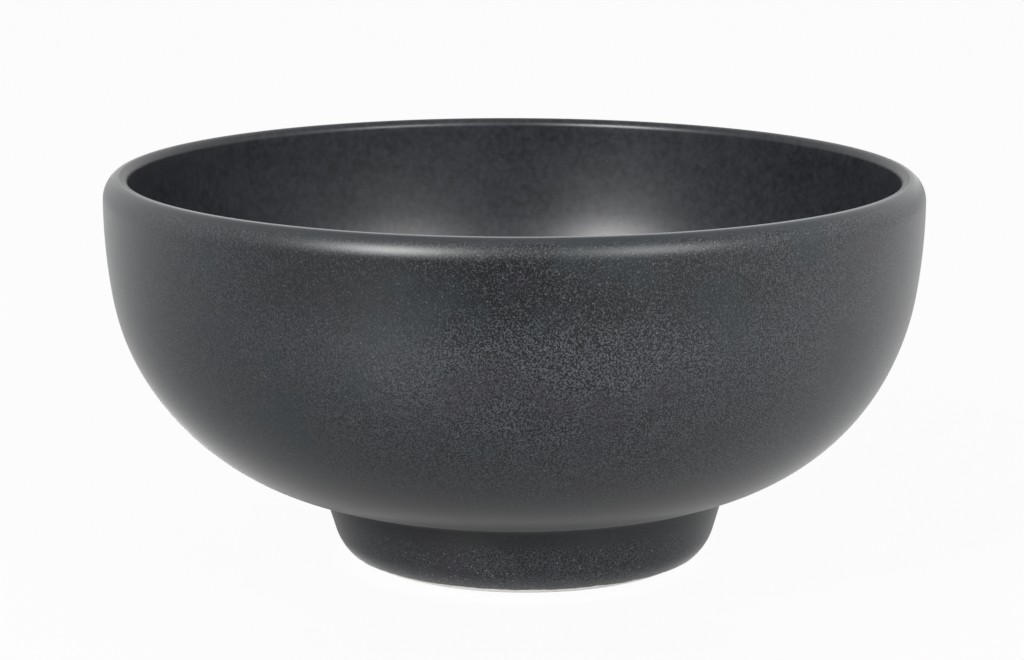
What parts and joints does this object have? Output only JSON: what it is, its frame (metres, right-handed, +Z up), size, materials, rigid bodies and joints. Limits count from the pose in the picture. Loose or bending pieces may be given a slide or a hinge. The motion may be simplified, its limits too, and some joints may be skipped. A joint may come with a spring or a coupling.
{
  "type": "footed bowl",
  "caption": "Round stoneware bowl with a deep belly, a rounded rim and a short foot ring, glazed dark grey inside and out over bare clay at the foot.",
  "frame": {"origin": "on the table, under the middle of the rim", "axes": "+Z up, along the axis of the rim; +X to the right as seen from the front, the side towards which the foot sits off the rim's axis"},
  "size_m": [0.15, 0.15, 0.0723],
  "materials": {
    "clay": "fired stoneware, bare and matte",
    "slip": "fired slip, matte",
    "inside_glaze": "satin charcoal glaze with few specks",
    "outside_glaze": "satin charcoal glaze with fine pale specks"
  },
  "bodies": {
    "root": {"basin": "clay", "foot_ring": "clay", "luting_slip": "slip", "liner_glaze": "inside_glaze", "outer_glaze": "outside_glaze", "well_glaze": "outside_glaze"}
  },
  "joints": []
}
